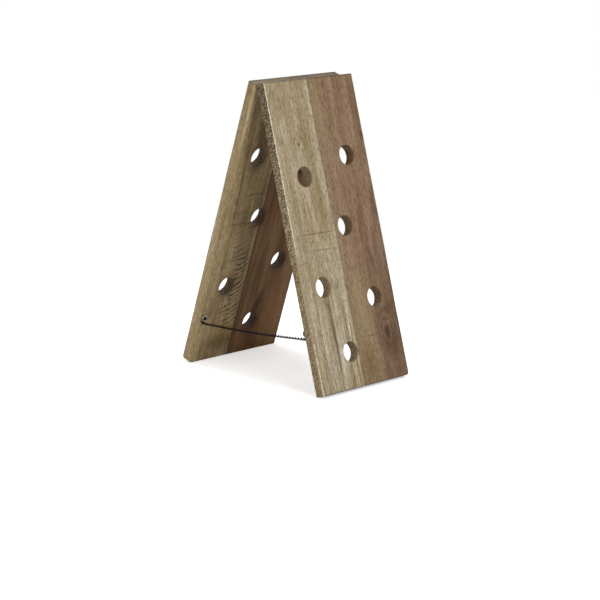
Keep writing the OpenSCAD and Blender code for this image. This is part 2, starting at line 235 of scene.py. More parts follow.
# Marks the walls of the bottle holes for the wood's finish, and shades the roundings smoothly
# while the broad faces stay flat.
def finishPlank(plank, side):
    mesh = plank.data
    count = len(mesh.polygons)
    centre, normal = np.zeros(count * 3), np.zeros(count * 3)
    mesh.polygons.foreach_get("center", centre)
    mesh.polygons.foreach_get("normal", normal)
    centre, normal = centre.reshape(-1, 3) * 1000, normal.reshape(-1, 3)
    sine, cosine = math.sin(lean), math.cos(lean)
    down = (crestHeight - centre[:, 2]) * cosine - (side * centre[:, 1] + crestHalf) * sine
    through = np.abs(normal @ np.array([0, cosine, -side * sine]))
    wallReach = bottleHoles["radius"] + bottleHoles["rimEase"] + 0.1  # just past the rim
    near = np.zeros(count)
    for x, drop in bottleHoles["places"]:
        away = np.hypot(centre[:, 0] - side * x, down - drop)
        near[(away < wallReach) & (through < 0.98)] = 1  # leaves the broad faces out
    loops = np.zeros(count, dtype=np.int32)
    mesh.polygons.foreach_get("loop_total", loops)
    bore = mesh.attributes.new("bore", "FLOAT", "CORNER")
    bore.data.foreach_set("value", np.repeat(near, loops))
    mesh.shade_smooth()
    mesh.set_sharp_from_angle(angle=edges["sharpAngle"])
    flats = plank.modifiers.new("flats", "WEIGHTED_NORMAL")
    flats.weight, flats.keep_sharp = 100, True


# From an sRGB hex code to the linear colour that a socket takes.
def linear(hexCode):
    parts = [int(hexCode[n:n + 2], 16) / 255 for n in (1, 3, 5)]
    return (*[c / 12.92 if c <= 0.04045 else ((c + 0.055) / 1.055) ** 2.4 for c in parts], 1.0)


# An input is a value, a socket, or a node, whose first output is then taken.
def add(tree, kind, inputs=None, **settings):
    made = tree.nodes.new("ShaderNode" + kind)
    for name, value in settings.items():
        setattr(made, name, value)
    for key, value in (inputs or {}).items():
        if isinstance(value, bpy.types.Node):
            value = value.outputs[0]
        if isinstance(value, bpy.types.NodeSocket):
            tree.links.new(value, made.inputs[key])
        else:
            made.inputs[key].default_value = value
    return made


def newMaterial(name):
    made = bpy.data.materials.new(name)
    made.use_nodes = True
    made.node_tree.nodes.clear()
    return made, made.node_tree


# Lays masks with their tints over a colour, one after the other.
def layered(tree, colour, layers):
    for mask, tint in layers:
        mix = add(tree, "Mix", {0: mask, 6: colour, 7: tint}, data_type="RGBA")
        colour = mix.outputs[2]
    return colour


# Round a knot the grain lines are pushed apart, and rings close round its dark core. Each knot
# is x, down, half width and half length, and reaches 2.6 times as far as these.
def growKnots(tree, look, grain):
    knotLayers = []
    for x, down, wide, long in look.get("knots", []):
        own = add(tree, "Mapping", {"Vector": grain, "Location": (x, 0, -down),
                  "Scale": (wide, 1000, long)}, vector_type="TEXTURE")
        away = add(tree, "VectorMath", {0: own}, operation="LENGTH").outputs["Value"]
        near = add(tree, "MapRange", {"Value": away, "From Min": 2.6, "From Max": 0.4,
                   "To Min": 0.0, "To Max": 0.85}, interpolation_type="SMOOTHSTEP")
        ownX = add(tree, "SeparateXYZ", {0: own})
        push = add(tree, "Math", {0: ownX, 1: near}, operation="MULTIPLY")
        shift = add(tree, "VectorMath", {0: push, 1: (-wide, 0, 0), 2: grain},
                    operation="MULTIPLY_ADD")
        wobble = add(tree, "TexNoise", {"Vector": own, "Scale": 2.2, "Detail": 3})
        turned = add(tree, "Math", {0: wobble, 1: 0.9, 2: away}, operation="MULTIPLY_ADD")
        ringTurn = add(tree, "Math", {0: turned, 1: 9.5}, operation="MULTIPLY")
        ringWave = add(tree, "Math", {0: ringTurn}, operation="SINE")
        ringCut = add(tree, "MapRange", {"Value": ringWave, "From Min": 0.1, "From Max": 1.0,
                      "To Min": 0.0, "To Max": 0.85})
        ring = add(tree, "Math", {0: ringCut, 1: near}, operation="MULTIPLY")
        core = add(tree, "MapRange", {"Value": turned, "From Min": 1.1, "From Max": 0.55,
                   "To Min": 0.0, "To Max": 0.85}, interpolation_type="SMOOTHSTEP")
        knotLayers += [(ring, linear(look["deep"])), (core, linear(look["core"]))]
        grain = shift
    return grain, knotLayers


# Saw strokes across the board, a period apart, only between the given places and only where
# the saw left them. They bow a little, and hook upwards towards the seam.
def sawStrokes(tree, look, local, parts):
    sawn = look["sawn"]
    bow = add(tree, "Math", {0: parts.outputs["X"], 1: -0.2, 2: parts.outputs["Z"]},
              operation="MULTIPLY_ADD")
    past = add(tree, "Math", {0: parts.outputs["X"], 1: sawn["hookFrom"]}, operation="SUBTRACT")
    past = add(tree, "Math", {0: past, 1: 0.0}, operation="MAXIMUM")
    hook = add(tree, "Math", {0: past, 1: 2.0}, operation="POWER")
    bow = add(tree, "Math", {0: hook, 1: -sawn["hook"], 2: bow}, operation="MULTIPLY_ADD")
    wave = add(tree, "Math", {0: bow, 1: 2 * math.pi / sawn["period"]}, operation="MULTIPLY")
    uneven = add(tree, "TexNoise", {"Vector": local, "Scale": 0.04, "Detail": 2,
                 "Roughness": 0.6})
    jitter = add(tree, "Math", {0: uneven, 1: 13.0, 2: wave}, operation="MULTIPLY_ADD")
    sine = add(tree, "Math", {0: jitter}, operation="SINE")
    cut = add(tree, "MapRange", {"Value": sine, "From Min": 0.2, "From Max": 1.0,
              "To Min": 0.0, "To Max": sawn["amount"]})
    kept = add(tree, "MapRange", {"Value": uneven, "From Min": 0.40, "From Max": 0.58,
               "To Min": 0.2, "To Max": 1.0})
    strokes = add(tree, "Math", {0: cut, 1: kept}, operation="MULTIPLY")
    across = add(tree, "MapRange", {"Value": parts.outputs["X"], "From Min": sawn["x"][0],
                 "From Max": sawn["x"][1]})
    along = add(tree, "MapRange", {"Value": parts.outputs["Z"], "From Min": -sawn["down"][1],
                "From Max": -sawn["down"][0]})
    for share in (across, along):
        half = add(tree, "Math", {0: share, 1: math.pi}, operation="MULTIPLY")
        hump = add(tree, "Math", {0: half}, operation="SINE")
        strokes = add(tree, "Math", {0: strokes, 1: hump}, operation="MULTIPLY")
    return strokes


# The long sides: a brown saw-cut skin broken by pale slanting strokes some 4 mm long and 1 mm
# wide, fainter towards the foot, where a smoother planed strip runs along the outer arris.
# Painted shade darkens each side towards its top, where the two leaves close in at the crest.
def sawnSide(tree, look, side, local, parts, sideways, outerGap, plain):
    isSide = add(tree, "MapRange", {"Value": sideways, "From Min": 0.5, "From Max": 0.85})
    slant = add(tree, "Mapping", {"Vector": local, "Scale": (10.0, 4.4, 0.95),
                "Rotation": (math.radians(-28 * side), 0, 0)}, vector_type="TEXTURE")
    flecks = add(tree, "TexNoise", {"Vector": slant, "W": look["grainSeed"] + 30, "Scale": 1.0,
                 "Detail": 2.0, "Roughness": 0.55}, noise_dimensions="4D")
    dark, middle, pale, worn = [linear(code) for code in look["side"]]
    skin = add(tree, "ValToRGB", {0: flecks})
    ramp = skin.color_ramp
    ramp.elements[0].position, ramp.elements[0].color = 0.45, dark
    ramp.elements[1].position, ramp.elements[1].color = 0.57, pale
    ramp.elements.new(0.51).color = middle
    faint = add(tree, "MapRange", {"Value": parts.outputs["Z"], "From Min": -260.0,
                "From Max": -420.0, "To Min": 0.15, "To Max": 0.5})
    settled = layered(tree, skin.outputs[0], [(faint, worn)])
    # Painted shade: the side darkens towards its top end, where the other leaf shades it.
    shade = add(tree, "MapRange", {"Value": parts.outputs["Z"], "From Min": 0.0,
                "From Max": -240.0, "To Min": look["sideTopShade"], "To Max": 1.0})
    shaded = add(tree, "Mix", {0: 1.0, 6: settled, 7: shade}, data_type="RGBA",
                 blend_type="MULTIPLY")
    hatch = add(tree, "Math", {0: isSide, 1: look["sideHatch"]}, operation="MULTIPLY")
    strip = add(tree, "MapRange", {"Value": outerGap, "From Min": 5.6, "From Max": 4.0})
    stripLow = add(tree, "MapRange", {"Value": parts.outputs["Z"], "From Min": -200.0,
                   "From Max": -300.0, "To Min": 0.0, "To Max": look["planed"]})
    planed = add(tree, "Math", {0: strip, 1: stripLow}, operation="MULTIPLY")
    planed = add(tree, "Math", {0: planed, 1: isSide}, operation="MULTIPLY")
    return flecks, hatch, [(hatch, shaded.outputs[2]), (planed, plain)]


# End grain: darker, its growth rings cut to long streaks across the board. Dirt lies along
# the top arrises and the outer arrises of both ends. The strip along the foot is darkened with
# painted shade where it meets the floor, and with dirt.
def endGrain(tree, look, local, parts, endways, outerGap):
    deep = linear(look["deep"])
    isEnd = add(tree, "MapRange", {"Value": endways, "From Min": 0.6, "From Max": 0.85})
    flat = add(tree, "VectorMath", {0: local, 1: (0.016, 0.32, 0.0)}, operation="MULTIPLY")
    rings = add(tree, "TexNoise", {"Vector": flat, "W": look["grainSeed"] + 50, "Scale": 1.0,
                "Detail": 3, "Roughness": 0.6}, noise_dimensions="4D")
    tone = add(tree, "MapRange", {"Value": rings, "From Min": 0.36, "From Max": 0.62})
    ends = layered(tree, linear(look["end"][0]), [(tone, linear(look["end"][1]))])
    topDirt = add(tree, "MapRange", {"Value": parts.outputs["Z"], "From Min": -3.6,
                  "From Max": -1.4, "To Min": 0.0, "To Max": 0.75})
    edgeDirt = add(tree, "MapRange", {"Value": outerGap, "From Min": 6.0, "From Max": 2.0,
                   "To Min": 0.0, "To Max": 0.65})
    endEdge = add(tree, "Math", {0: edgeDirt, 1: isEnd}, operation="MULTIPLY")
    # Painted shade and dirt: the foot darkens over its last two and a half millimetres.
    footShadeAndDirt = add(tree, "MapRange", {"Value": parts.outputs["Z"], "From Min": 2.6 - leafLength,
                   "From Max": 0.8 - leafLength, "To Min": 0.0, "To Max": 0.75})
    return [(isEnd, ends), (topDirt, ends), (endEdge, deep), (footShadeAndDirt, deep)]


# Weathered reclaimed board, seen as slow bands and streaks down the leaf with short dark fibres
# and pores in them, matte but for a faint sheen along the streaks. The pattern is laid out in
# millimetres: x across the board, y through it and z up it from the top end.
def boardWood(leaf, look):
    made, tree = newMaterial(look["name"])
    side, seed = leaf["side"], look["grainSeed"]
    turn = side * lean
    origin = Matrix.Rotation(turn, 3, "X") @ Vector((0, -side * crestHalf, crestHeight))
    place = add(tree, "TexCoord")
    local = add(tree, "Mapping", {"Vector": place.outputs["Object"], "Location": -origin,
                "Rotation": (turn, 0, 0), "Scale": (1000, 1000, 1000)}, vector_type="POINT")
    facing = add(tree, "Mapping", {"Vector": place.outputs["Normal"], "Rotation": (turn, 0, 0)},
                 vector_type="POINT")
    facingParts = add(tree, "SeparateXYZ", {0: facing})
    sideways, endways = [add(tree, "Math", {0: facingParts.outputs[axis]}, operation="ABSOLUTE")
                         for axis in ("X", "Z")]
    parts = add(tree, "SeparateXYZ", {0: local})

    # The grain wanders a few millimetres sideways over a hand's length.
    slow = add(tree, "VectorMath", {0: local, 1: (0.012, 0.03, 0.0035)}, operation="MULTIPLY")
    sway = add(tree, "TexNoise", {"Vector": slow, "W": seed, "Scale": 1.0, "Detail": 1.5},
               noise_dimensions="4D")
    swayOff = add(tree, "VectorMath", {0: sway.outputs["Color"], 1: (0.5, 0.5, 0.5)},
                  operation="SUBTRACT")
    grain = add(tree, "VectorMath", {0: swayOff, 1: (6, 4, 0), 2: local},
                operation="MULTIPLY_ADD")
    grain, knotLayers = growKnots(tree, look, grain)

    # Noise fields, each with its features per millimetre across, through and along the board.
    # Fibres and pores are drawn over 1 mm wide, coarser than real ones, so that they show.
    fields = {}
    for key, size, detail, rough in (
            ("bands", (0.05, 0.05, 0.0035), 3, 0.55),
            ("streaks", (0.30, 0.30, 0.0065), 3, 0.6),
            ("fibres", (0.80, 0.80, 0.085), 2, 0.65),
            ("pores", (0.90, 0.90, 0.14), 2, 0.55),
            ("patches", (0.020, 0.03, 0.012), 3, 0.6),
            ("specks", (0.42, 0.42, 0.30), 3, 0.65)):
        sized = add(tree, "VectorMath", {0: grain, 1: size}, operation="MULTIPLY")
        fields[key] = add(tree, "TexNoise", {"Vector": sized, "W": seed + len(fields) * 3.7,
                          "Scale": 1.0, "Detail": detail, "Roughness": rough},
                          noise_dimensions="4D")
    broken = add(tree, "MapRange", {"Value": fields["fibres"], "From Min": 0.44,
                 "From Max": 0.58})

    base = add(tree, "ValToRGB", {0: fields["bands"]})
    ramp = base.color_ramp
    ramp.elements[0].position, ramp.elements[0].color = 0.34, linear(look["tones"][0])
    ramp.elements[1].position, ramp.elements[1].color = 0.66, linear(look["tones"][2])
    ramp.elements.new(0.5).color = linear(look["tones"][1])

    # Patches where the surface has gone grey, and others that have taken a stain.
    layers = []
    for start, stop, amount, tint in ((0.52, 0.68, look["greyness"], look["grey"]),
                                      (0.46, 0.32, look["stained"], look["stain"])):
        patch = add(tree, "MapRange", {"Value": fields["patches"], "From Min": start,
                    "From Max": stop, "To Min": 0.0, "To Max": amount},
                    interpolation_type="SMOOTHSTEP")
        layers.append((patch, linear(tint)))

    # Marks of this board: stains, streaks, cracks and spots. Each is an ellipse, given as x,
    # down, half width, half length, tilt, colour, strength and softness. A mark that is less
    # than 2 mm long is a crack across the board, and is broken up by the fibres.
    for x, down, wide, long, tilt, hexCode, strength, softness in look["marks"]:
        own = add(tree, "Mapping", {"Vector": grain, "Location": (x, 0, -down),
                  "Rotation": (0, math.radians(tilt), 0), "Scale": (wide, 1000, long)},
                  vector_type="TEXTURE")
        reach = add(tree, "VectorMath", {0: own}, operation="LENGTH").outputs["Value"]
        amount = add(tree, "MapRange", {"Value": reach, "From Min": 1 + softness,
                     "From Max": 1 - softness, "To Min": 0.0, "To Max": strength},
                     interpolation_type="SMOOTHSTEP")
        if long < 2:
            amount = add(tree, "Math", {0: amount, 1: broken}, operation="MULTIPLY")
        layers.append((amount, linear(hexCode)))
    layers += knotLayers

    # The glue line where the two boards of the leaf meet, with dirt in it.
    seamOff = add(tree, "Math", {0: parts.outputs["X"], 1: leaf["seam"]}, operation="SUBTRACT")
    seamGap = add(tree, "Math", {0: seamOff}, operation="ABSOLUTE")
    seamLine = add(tree, "MapRange", {"Value": seamGap, "From Min": 1.9, "From Max": 0.8,
                   "To Min": 0.0, "To Max": look["seamDark"]})
    layers.append((seamLine, linear(look["deep"])))
    if look.get("sawn"):
        layers.append((sawStrokes(tree, look, local, parts), linear(look["sawn"]["tint"])))
    colour = layered(tree, base.outputs[0], layers)

    # Streaks a hand long and fibres about 12 mm long lighten and darken the colour.
    low = add(tree, "MapRange", {"Value": parts.outputs["Z"], "From Min": -250.0,
              "From Max": -540.0, "To Min": 1.0, "To Max": look.get("lowTone", 1.0)})
    lowStreak = add(tree, "MapRange", {"Value": parts.outputs["Z"], "From Min": -330.0,
                    "From Max": -430.0, "To Min": look["streak"],
                    "To Max": look.get("lowStreak", look["streak"])})
    for field, amount, tone in (("streaks", lowStreak, low), ("fibres", look["fibre"], 1.0)):
        lift = add(tree, "MapRange", {"Value": fields[field], "From Min": 0.35,
                   "From Max": 0.65, "To Min": -1.0, "To Max": 1.0})
        lifted = add(tree, "Math", {0: lift, 1: amount, 2: 1.0}, operation="MULTIPLY_ADD")
        toned = add(tree, "Math", {0: lifted, 1: tone}, operation="MULTIPLY")
        colour = add(tree, "Mix", {0: 1.0, 6: colour, 7: toned}, data_type="RGBA",
                     blend_type="MULTIPLY").outputs[2]
    pores = add(tree, "MapRange", {"Value": fields["pores"], "From Min": 0.56,
                "From Max": 0.63, "To Min": 0.0, "To Max": look["pore"]},
                interpolation_type="SMOOTHSTEP")

    outerGap = add(tree, "Math", {0: parts.outputs["Y"], 1: float(side), 2: thickness},
                   operation="MULTIPLY_ADD")
    flecks, hatch, sideLayers = sawnSide(tree, look, side, local, parts, sideways, outerGap,
                                         base.outputs[0])

    # Bottle holes: darker walls, with specks still showing. The dark is partly the bored wood and
    # partly painted shade inside the hole, the deepest on the rear leaf.
    bore = add(tree, "Attribute", attribute_name="bore")
    isBore = add(tree, "Math", {0: bore.outputs["Fac"], 1: look["boreAmount"]},
                 operation="MULTIPLY")
    boreMix = add(tree, "MapRange", {"Value": fields["specks"], "From Min": 0.38,
                  "From Max": 0.62})
    boreWoodAndShade = layered(tree, linear(look["bore"][0]), [(boreMix, linear(look["bore"][1]))])

    # The arris, where the side meets the outer face, broken up by noise. On the pale front board
    # its cream is a painted highlight; on the others it is a darker edge tone.
    fromMiddle = add(tree, "Math", {0: parts.outputs["X"]}, operation="ABSOLUTE")
    sideGap = add(tree, "Math", {0: halfWidth, 1: fromMiddle}, operation="SUBTRACT")
    arris = add(tree, "Math", {0: sideGap, 1: outerGap}, operation="MAXIMUM")
    ragged = add(tree, "Math", {0: fields["specks"], 1: -5.0, 2: look["arrisWide"]},
                 operation="MULTIPLY_ADD")
    arrisIn = add(tree, "Math", {0: ragged, 1: arris}, operation="SUBTRACT")
    arrisMask = add(tree, "MapRange", {"Value": arrisIn, "From Min": -0.2, "From Max": 0.4,
                    "To Min": 0.0, "To Max": look["arrisAmount"]})

    colour = layered(tree, colour, [
        (pores, linear(look["deep"])), *sideLayers,
        *endGrain(tree, look, local, parts, endways, outerGap),
        (isBore, boreWoodAndShade), (arrisMask, linear(look["arris"]))])

    # Relief: raised fibres, sunk pores and the torn strokes of the sawn sides.
    high = add(tree, "Math", {0: pores, 1: -0.9, 2: fields["fibres"]}, operation="MULTIPLY_ADD")
    torn = add(tree, "Mix", {0: hatch, 2: high, 3: flecks}, data_type="FLOAT")
    relief = add(tree, "Bump", {"Strength": 0.6, "Distance": 0.0007, "Height": torn})
    rough = add(tree, "MapRange", {"Value": fields["streaks"], "From Min": 0.3,
                "From Max": 0.7, "To Min": 0.76, "To Max": 0.64})
    surface = add(tree, "BsdfPrincipled", {"Base Color": colour, "Roughness": rough,
                  "Normal": relief, "Specular IOR Level": 0.22})
    add(tree, "OutputMaterial", {0: surface})
    return made


# Plated or blackened steel: a soft metal sheen that a tarnish in clouds some 6 mm wide breaks
# into two tones, with small dark pits that are rougher than the rest. Real pits are a tenth of
# a millimetre and would not show, so they are drawn about 1 mm wide.
def steel(look):
    made, tree = newMaterial(look["name"])
    place = add(tree, "TexCoord")
    mm = add(tree, "Mapping", {"Vector": place.outputs["Object"], "Scale": (1000, 1000, 1000)})
    tarnish = add(tree, "TexNoise", {"Vector": mm, "Scale": 0.16, "Detail": 4})
    pits = add(tree, "TexNoise", {"Vector": mm, "Scale": look["pitScale"], "Detail": 3,
               "Roughness": 0.7})
    mask = add(tree, "MapRange", {"Value": tarnish, "From Min": 0.35, "From Max": 0.65})
    pitMask = add(tree, "MapRange", {"Value": pits, "From Min": 0.55, "From Max": 0.7,
                  "To Min": 0.0, "To Max": look["pits"]})
    colour = layered(tree, linear(look["bright"]), [(mask, linear(look["dull"])),
                                                    (pitMask, linear("#2a2521"))])
    rough = add(tree, "MapRange", {"Value": pits, "From Min": 0.3, "From Max": 0.7,
                "To Min": look["rough"] - 0.08, "To Max": look["rough"] + 0.12})
    relief = add(tree, "Bump", {"Strength": 0.3, "Distance": 0.0001, "Height": pits})
    surface = add(tree, "BsdfPrincipled", {"Base Color": colour, "Metallic": look["metallic"],
                  "Roughness": rough, "Normal": relief})
    add(tree, "OutputMaterial", {0: surface})
    return made


# Turned beech: pale, even and dull, with fine fibres along the dowel. They are drawn 1 mm wide,
# because real ones are too fine to show.
def turnedDowelWood(look):
    made, tree = newMaterial(look["name"])
    place = add(tree, "TexCoord")
    mm = add(tree, "Mapping", {"Vector": place.outputs["Object"], "Scale": (25, 900, 900)})
    fibres = add(tree, "TexNoise", {"Vector": mm, "Scale": 1.0, "Detail": 4})
    colour = layered(tree, linear(look["dark"]), [(fibres, linear(look["pale"]))])
    relief = add(tree, "Bump", {"Strength": 0.3, "Distance": 0.0002, "Height": fibres})
    surface = add(tree, "BsdfPrincipled", {"Base Color": colour, "Roughness": look["rough"],
                  "Normal": relief})
    add(tree, "OutputMaterial", {0: surface})
    return made


# Planks. Each has its shape and wear first, in millimetres, and then its wood. Tones run from
# dark to pale. Pairs such as greyness and grey are how much of a tint there is, and the tint.
# The four tones of a side are its gaps, skin, strokes and worn foot. Side top shade is the factor
# by which painted shade darkens a side at its top end.

# Pale oak, planed long ago and left to weather: greyed and matte, with open pores, pale streaks
# and dark cross cuts.
frontLeftPlank = {
    "name": "weathered pale oak board", "leaf": "front", "slot": "pale_wood",
    "outerX": -115.0, "edgeSeed": 5, "cornerTop": 1.5, "cornerBottom": 1.5,
    "innerWear": 0.0, "outerWear": 3.2,
    "grainSeed": 3.1, "tones": ("#93805f", "#a59373", "#b6a78c"), "deep": "#54432b",
    "greyness": 0.4, "grey": "#ada18b", "stained": 0.35, "stain": "#8a7550",
    "streak": 0.12, "lowStreak": 0.3, "fibre": 0.30, "pore": 0.75, "seamDark": 0.3,
    "boreAmount": 0.8, "bore": ("#6b5940", "#a8957a"),
    "side": ("#4f3e2a", "#786345", "#c6b592", "#8b7856"), "sideTopShade": 0.5,
    "sideHatch": 1.0, "planed": 0.85, "end": ("#6a5f4f", "#83755f"),
    # The cream arris colour is a painted highlight along the rounded outer edge.
    "arris": "#e4dcc6", "arrisAmount": 0.95, "arrisWide": 3.75,
    "marks": [
        (-56.4, 115.7, 2.2, 2.8, 0, "#3f3222", 0.85, 0.5),
        (-14, 155, 9, 42, 6, "#b0a48b", 0.6, 0.6),
        (-11, 40, 5, 60, 0, "#c6bca3", 0.6, 0.7),
        (-55, 450, 50, 130, 0, "#bfb39b", 0.4, 0.8),
        (-25, 340, 22, 60, 0, "#bdb095", 0.4, 0.8),
        (-16, 418, 3.5, 60, 3, "#cfc8b4", 0.6, 0.8),
        (-52, 520, 4.0, 50, 2, "#cbc3ae", 0.45, 0.8),
        (-78, 535, 4.0, 40, 2, "#c9c1ac", 0.45, 0.8),
        (-85, 450, 3.5, 62, 2, "#cdc6b2", 0.6, 0.8),
        (-47, 500, 5.0, 40, 2, "#cbc3ad", 0.6, 0.7),
        (-60, 422, 3.4, 50, 2, "#675636", 0.65, 0.7),
        (-58, 480, 2.2, 60, 1, "#57482b", 0.75, 0.6),
        (-30, 535, 3.0, 34, 0, "#7c6133", 0.6, 0.7),
        (-54, 276, 44, 1.3, 1, "#51422b", 0.95, 0.6),
        (-46, 306, 37, 1.1, 3, "#51422b", 0.85, 0.6),
        (-30, 328, 28, 0.9, 2, "#51422b", 0.5, 0.6),
        (-64, 380, 26, 34, 0, "#8a7650", 0.35, 0.6),
    ],
}
# Brown oak of a denser board: warmer and smoother, with a knot low on its right.
frontRightPlank = {
    "name": "brown oak board with a knot", "leaf": "front", "slot": "brown_wood",
    "outerX": 115.0, "edgeSeed": 6, "cornerTop": 1.5, "cornerBottom": 6,
    "innerWear": 0.0, "outerWear": 0.0,
    "grainSeed": 11.7, "tones": ("#7d6147", "#8e7359", "#9b8269"), "deep": "#4d3722",
    "greyness": 0.4, "grey": "#958269", "stained": 0.4, "stain": "#71543a",
    "streak": 0.1, "fibre": 0.28, "pore": 0.65, "lowTone": 0.8, "seamDark": 0.3,
    "boreAmount": 0.75, "bore": ("#5b452f", "#957c61"),
    "side": ("#4f3b28", "#6d563f", "#a38a68", "#7b634a"), "sideTopShade": 0.7,
    "sideHatch": 1.0, "planed": 0.3, "end": ("#5a4a39", "#75624d"),
    "arris": "#55402c", "arrisAmount": 0.6, "arrisWide": 4.2,
    "knots": [(79, 473, 14, 24)], "core": "#45281a",
    "marks": [
        (112.3, 113.4, 4.5, 7, 0, "#4d3521", 0.8, 0.5),
        (108, 60, 7, 62, 0, "#6f5036", 0.5, 0.8),
        (96, 455, 34, 110, 0, "#6a4f35", 0.6, 0.9),
        (84, 498, 12, 22, 0, "#56351f", 0.55, 0.8),
        (16, 470, 32, 130, 0, "#ab9570", 0.7, 0.9),
        (8, 40, 16, 66, 0, "#98845f", 0.6, 0.8),
        (112, 420, 5, 150, 0, "#5a402a", 0.5, 0.8),
        (34, 474, 17, 1.3, 2, "#3d2a1a", 0.8, 0.6),
        (65, 319, 3, 4, 0, "#5d3f2c", 0.6, 0.5),
        (104, 360, 3, 6, 0, "#5d3f2c", 0.6, 0.5),
        (44, 300, 26, 46, 8, "#92705c", 0.45, 0.8),
        (84, 330, 22, 40, -6, "#866451", 0.4, 0.8),
        (60, 60, 30, 50, 0, "#8d6f58", 0.35, 0.8),
        (104, 246, 7, 44, 4, "#60432e", 0.6, 0.8),
        (62, 268, 5, 34, 9, "#664a35", 0.5, 0.8),
        (74, 344, 4, 26, -10, "#5b402c", 0.55, 0.8),
        (92, 300, 5, 30, 6, "#684b37", 0.4, 0.8),
        (92, 432, 16, 9, -24, "#543823", 0.4, 0.7),
        (20, 520, 16, 30, 0, "#7d5c34", 0.5, 0.8),
    ],
}
# Pale oak straight from the saw: its strokes and cross cuts stand dark on the rough wood.
rearLeftPlank = {
    "name": "pale oak board with saw marks", "leaf": "rear", "slot": "pale_wood",
    "outerX": -115.0, "edgeSeed": 7, "cornerTop": 1.5, "cornerBottom": 8.5,
    "innerWear": 2.4, "outerWear": 0.0,
    "grainSeed": 23.9, "tones": ("#8e7751", "#a68f68", "#bfab86"), "deep": "#402f1a",
    "greyness": 0.35, "grey": "#a5977b", "stained": 0.55, "stain": "#725c3a",
    "streak": 0.2, "fibre": 0.34, "pore": 0.5, "seamDark": 0.95,
    "boreAmount": 0.9, "bore": ("#2b1f12", "#77614a"),
    "side": ("#86714f", "#98835f", "#ad9a76", "#98835f"), "sideTopShade": 0.85,
    "sideHatch": 0.3, "planed": 0.0, "end": ("#5d5142", "#8a7b66"),
    "arris": "#5b4b33", "arrisAmount": 0.6, "arrisWide": 3.9,
    "sawn": {"x": (-76, 14), "down": (240, 590), "period": 10.5, "amount": 1.35,
             "hookFrom": -40.0, "hook": 0.013, "tint": "#46341b"},
    "marks": [
        # The dark band near the top is partly painted shade where the front leaf closes over it
        # at the crest, and partly staining.
        (-60, 100, 16, 70, 4, "#58472d", 0.6, 0.8),
        (-91, 190, 3.0, 75, -3, "#4b3b24", 0.55, 0.7),
        (-42, 310, 26, 95, 0, "#6b5633", 0.45, 0.8),
        (-100, 90, 3.0, 80, 0, "#5f4d33", 0.5, 0.7),
        (-104, 330, 10, 260, 0, "#baa67f", 0.5, 0.8),
        (-48, 221, 22, 1.4, 0, "#3c2e1b", 0.9, 0.6),
        (-70, 255, 24, 1.4, 2, "#3c2e1b", 0.7, 0.6),
        (-68, 278, 27, 1.3, 0, "#3c2e1b", 0.9, 0.6),
        (-54, 354, 30, 1.6, 0, "#3c2e1b", 0.9, 0.6),
        (-50, 500, 26, 30, 0, "#a98f5a", 0.4, 0.8),
        (-45, 528, 34, 14, 0, "#54411f", 0.55, 0.8),
        (-26, 230, 9, 40, 0, "#4e3d26", 0.5, 0.8),
    ],
}
# Dark brown oak, rubbed smooth by use: even in tone, with little pore showing.
rearRightPlank = {
    "name": "dark smooth oak board", "leaf": "rear", "slot": "brown_wood",
    "outerX": 115.0, "edgeSeed": 8, "cornerTop": 8, "cornerBottom": 1.5,
    "innerWear": 0.0, "outerWear": 0.0,
    "grainSeed": 37.3, "tones": ("#6a4828", "#7c5b38", "#8e6d48"), "deep": "#322112",
    "greyness": 0.2, "grey": "#806d58", "stained": 0.5, "stain": "#573b23",
    "streak": 0.07, "fibre": 0.14, "pore": 0.3, "seamDark": 0.95,
    "boreAmount": 0.9, "bore": ("#22170f", "#5d4635"),
    "side": ("#4f3b28", "#6d563f", "#a38a68", "#7b634a"), "sideTopShade": 0.8,
    "sideHatch": 0.9, "planed": 0.0, "end": ("#54463a", "#83705c"),
    "arris": "#55402c", "arrisAmount": 0.5, "arrisWide": 4.0,
    "marks": [
        (60, 330, 9, 60, 0, "#54391f", 0.5, 0.8),
        (34, 462, 7, 26, 12, "#2c1b0b", 0.8, 0.7),
        (16, 400, 9, 60, 6, "#4c3522", 0.5, 0.8),
        (84, 500, 24, 50, 0, "#8c663c", 0.6, 0.8),
        (-2, 400, 5, 90, 3, "#4a311b", 0.5, 0.8),
    ],
}
# The wood round the rear leaf's holes is stained by handling.
for plan in (rearLeftPlank, rearRightPlank):
    plan["marks"] += [(-x, down, 23, 27, 0, plan["stain"], 0.55, 0.35)
                      for x, down in bottleHoles["places"]]

planks = {"front_left_plank": frontLeftPlank, "front_right_plank": frontRightPlank,
          "rear_left_plank": rearLeftPlank, "rear_right_plank": rearRightPlank}
for node, plan in planks.items():
    leaf = leaves[plan["leaf"]]
    plank = sweptPlank(node + "_worn", leaf, plan)
    outwards(plank)
    cutPlank(plank, leafCutters(leaf), leaf["side"])
    finishPlank(plank, leaf["side"])
    plank.data.materials.clear()
    plank.data.materials.append(boardWood(leaf, plan))
    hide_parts(node)
    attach(plank, leaf["body"])
    print("plank", node, len(plank.data.polygons))

# Chain of curb links, in millimetres. Hook is how far a link reaches into its neighbour, and
# fit the play between their wires. The lay is the turn that the links settle to.

chain = {"count": 38, "wire": 1.7, "halfWidth": 2.15, "hook": 1.85, "fit": 0.1, "sag": 2.7,
         "lay": 45, "easedLinks": 3, "bendPoints": 13, "wirePoints": 12, "around": 12,
         "endReach": 10.6, "endTilt": math.radians(12), "endOff": 1.85}
# Black burnished steel wire: almost black, with a thin hard glint along each bend.
chainSteel = steel({"name": "dark burnished chain steel", "bright": "#181410",
                    "dull": "#0b0908", "rough": 0.34, "metallic": 0.95, "pits": 0.3,
                    "pitScale": 1.6})


